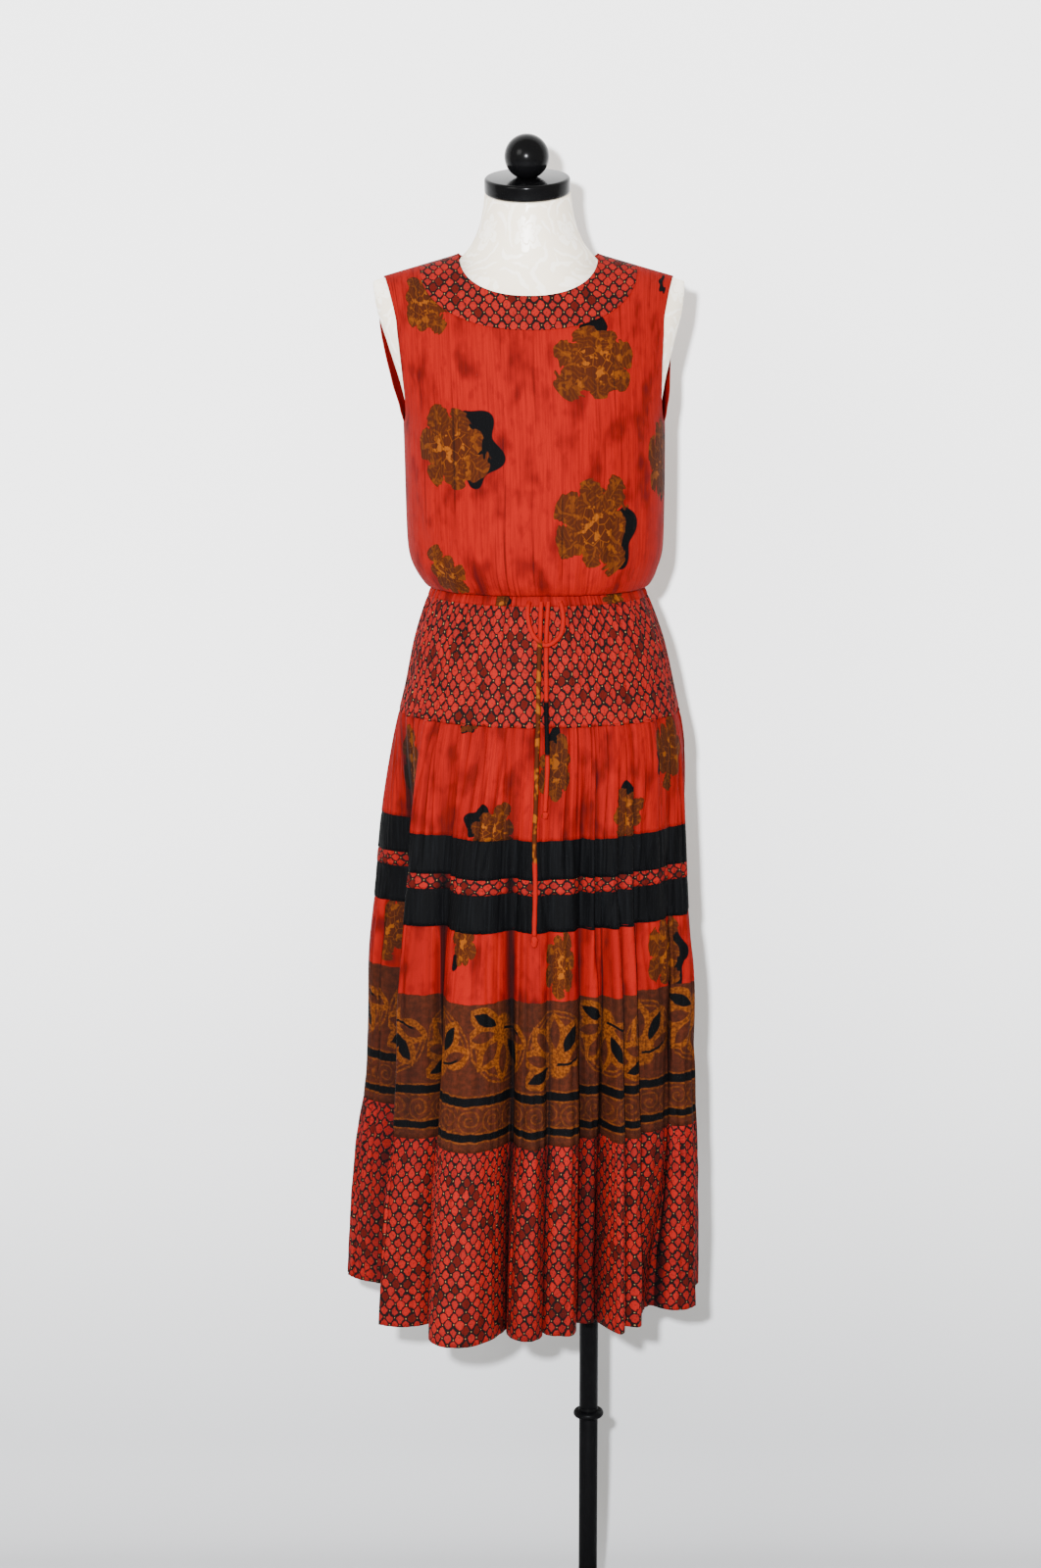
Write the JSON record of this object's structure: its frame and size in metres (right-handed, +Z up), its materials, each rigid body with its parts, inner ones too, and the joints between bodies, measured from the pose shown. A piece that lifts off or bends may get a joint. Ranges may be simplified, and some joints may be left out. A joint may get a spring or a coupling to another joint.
{
  "type": "midi dress on a dress form",
  "caption": "Sleeveless gathered midi dress with a drawstring waist and tiered skirt, worn by a limbless dress form on a pole stand.",
  "frame": {"origin": "underside of the round base, under the pole's axis", "axes": "+Z up along the pole, -Y the front of the dress, +X the dress's right as seen from the front"},
  "size_m": [0.4632, 0.4049, 1.8126],
  "materials": {
    "red_flower_cloth": "crinkled rayon, red with brown and ochre flowers",
    "pebble_cloth": "crinkled rayon, red cells with black outlines and cream dots",
    "black_cloth": "crinkled rayon, black",
    "border_cloth": "crinkled rayon, brown border with ochre leaves, arcs and scrolls",
    "ivory_damask": "ivory damask cover",
    "black_lacquer": "gloss black",
    "pole_black": "satin black"
  },
  "bodies": {
    "root": {"bodice_front": "red_flower_cloth", "bodice_back": "red_flower_cloth", "neck_band_front": "pebble_cloth", "neck_band_back": "pebble_cloth", "waist_casing_front": "red_flower_cloth", "waist_casing_back": "red_flower_cloth", "yoke_front": "pebble_cloth", "yoke_back": "pebble_cloth", "floral_tier_front": "red_flower_cloth", "floral_tier_back": "red_flower_cloth", "black_band_upper_front": "black_cloth", "black_band_upper_back": "black_cloth", "pebble_strip_front": "pebble_cloth", "pebble_strip_back": "pebble_cloth", "black_band_lower_front": "black_cloth", "black_band_lower_back": "black_cloth", "border_tier_front": "border_cloth", "border_tier_back": "border_cloth", "hem_tier_front": "pebble_cloth", "hem_tier_back": "pebble_cloth", "tie_loop": "red_flower_cloth", "tie_end_long": "red_flower_cloth", "tie_end_short": "red_flower_cloth", "tie_knot_long": "red_flower_cloth", "tie_knot_short": "red_flower_cloth", "form_torso": "ivory_damask", "neck_cap": "black_lacquer", "cap_ball": "black_lacquer", "upper_pole": "pole_black", "lower_pole": "pole_black", "pole_ring": "pole_black", "base_plate": "pole_black"}
  },
  "joints": []
}
